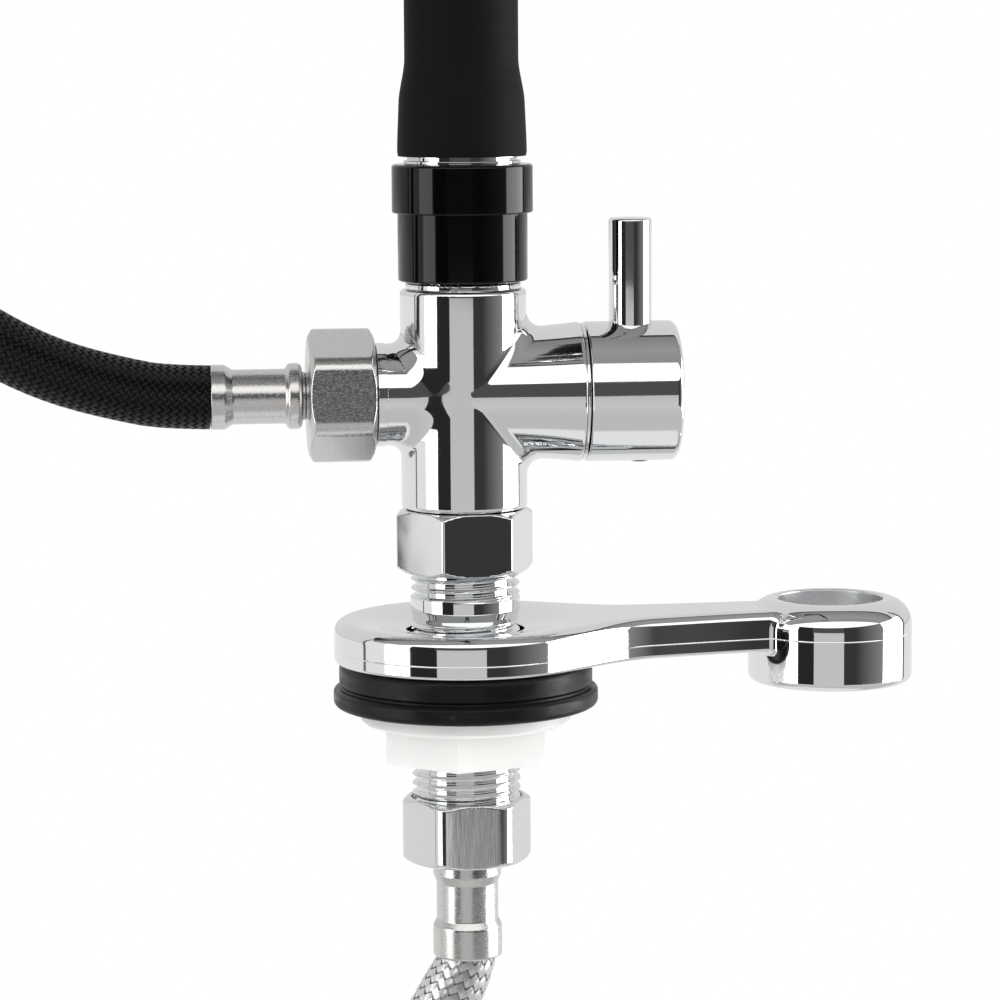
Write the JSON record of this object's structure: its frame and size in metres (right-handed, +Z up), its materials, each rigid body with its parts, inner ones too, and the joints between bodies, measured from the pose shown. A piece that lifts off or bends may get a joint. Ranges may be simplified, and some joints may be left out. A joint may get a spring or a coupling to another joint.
{
  "type": "pre rinse faucet",
  "caption": "Deck-mounted lever valve with a swivelling rubber-covered gooseneck arm, a spray rest and a trigger hand spray on a braided hose.",
  "frame": {"origin": "centre of the deck hole on the deck's upper surface, under the rubber seal", "axes": "+Z up along the shank, +X towards the valve knob, -Y towards the user and the hand spray"},
  "size_m": [0.2232, 0.2469, 0.9366],
  "materials": {
    "chrome": "mirror chrome plate on brass",
    "satin_nickel": "satin nickel plate, fine brushed grain",
    "plated_nut": "plated, vertical brushing on the flats",
    "brass": "turned brass",
    "black_rubber": "matte moulded rubber",
    "cover_rubber": "soft matte rubber tube",
    "gloss_black": "gloss black",
    "white_plastic": "milky white nylon",
    "steel_braid": "plaited stainless ribbons",
    "black_braid": "fine black nylon plait",
    "ceramic": "fired ceramic",
    "seal_rubber": "seal rubber",
    "dark_steel": "blackened steel screw",
    "steel": "plain stainless steel",
    "grip_rubber": "ribbed black grip",
    "face_plate": "stainless spray plate",
    "clip_plastic": "black nylon clip"
  },
  "bodies": {
    "valve": {"cross_body": "chrome", "inlet_shank": "chrome", "base_plate": "chrome", "deck_seal": "black_rubber", "backnut": "white_plastic", "cartridge_housing": "brass", "cartridge_seals": "seal_rubber", "fixed_disc": "ceramic", "cartridge_nut": "chrome", "supply_nut": "plated_nut", "supply_washer": "seal_rubber", "supply_insert": "brass", "supply_ferrule": "satin_nickel", "supply_hose": "steel_braid", "supply_end_ferrule": "satin_nickel", "supply_end_insert": "brass", "supply_end_washer": "seal_rubber", "hose_nut": "satin_nickel", "hose_washer": "seal_rubber", "hose_insert": "brass", "hose_o_rings": "seal_rubber", "hose_ferrule": "satin_nickel", "spray_hose_lower": "black_braid", "swivel_o_ring": "seal_rubber"},
    "handle": {"moving_disc": "ceramic", "valve_spindle": "brass", "knob": "chrome", "lever_pin": "chrome", "knob_grub_screw": "steel"},
    "arm": {"swivel_sleeve": "gloss_black", "sleeve_grub_screw": "dark_steel", "arm_ferrule": "chrome", "gooseneck_core": "steel", "arm_cover": "cover_rubber", "arm_end_ferrule": "chrome", "arm_end_cap": "gloss_black", "spray_fork": "chrome", "hose_clip": "clip_plastic", "spray_hose_upper": "black_braid"},
    "spray": {"spray_tail": "chrome", "spray_nut": "satin_nickel", "spray_washer": "seal_rubber", "spray_insert": "brass", "spray_o_rings": "seal_rubber", "spray_ferrule": "satin_nickel", "spray_grip": "grip_rubber", "spray_body": "chrome", "gland_nut": "satin_nickel", "chamber_plug": "chrome", "trigger_spring": "steel", "pivot_pin": "steel", "spray_bell": "chrome", "spray_face": "face_plate", "face_screw": "steel", "bell_bumper": "black_rubber"},
    "trigger": {"trigger": "chrome"},
    "stem": {"valve_stem": "brass", "poppet_washer": "seal_rubber"},
    "end_nut": {"supply_end_nut": "plated_nut"}
  },
  "joints": [
    {"name": "lever_turn", "type": "hinge", "parent": "valve", "child": "handle", "pos_m": [0.032, 0, 0.06], "axis": [1, 0, 0], "range_deg": [0, 90]},
    {"name": "arm_swivel", "type": "hinge", "parent": "valve", "child": "arm", "pos_m": [0, 0, 0.09], "axis": [0, 0, 1], "range_deg": [-60, 60], "deforming": ["spray_hose_lower"]},
    {"name": "spray_lift", "type": "slide", "parent": "arm", "child": "spray", "axis": [0, -1, 0], "range_m": [0, 0.045], "deforming": ["spray_hose_upper"]},
    {"name": "trigger_squeeze", "type": "hinge", "parent": "spray", "child": "trigger", "pos_m": [0, -0.194, 0.3357], "axis": [-1, 0, 0], "range_deg": [0, 10], "stiffness_Nm_per_rad": 1.2, "springref_deg": -5.73},
    {"name": "stem_slide", "type": "slide", "parent": "spray", "child": "stem", "axis": [0, 1, 0], "range_m": [0, 0.0035], "deforming": ["trigger_spring"]},
    {"name": "end_nut_spin", "type": "hinge", "parent": "valve", "child": "end_nut", "pos_m": [-0.043, 0, -0.321], "axis": [0, 0, 1], "continuous": true}
  ],
  "couplings": [
    {"joint": "stem_slide", "follows": "trigger_squeeze", "m_per_rad": 0.018}
  ]
}
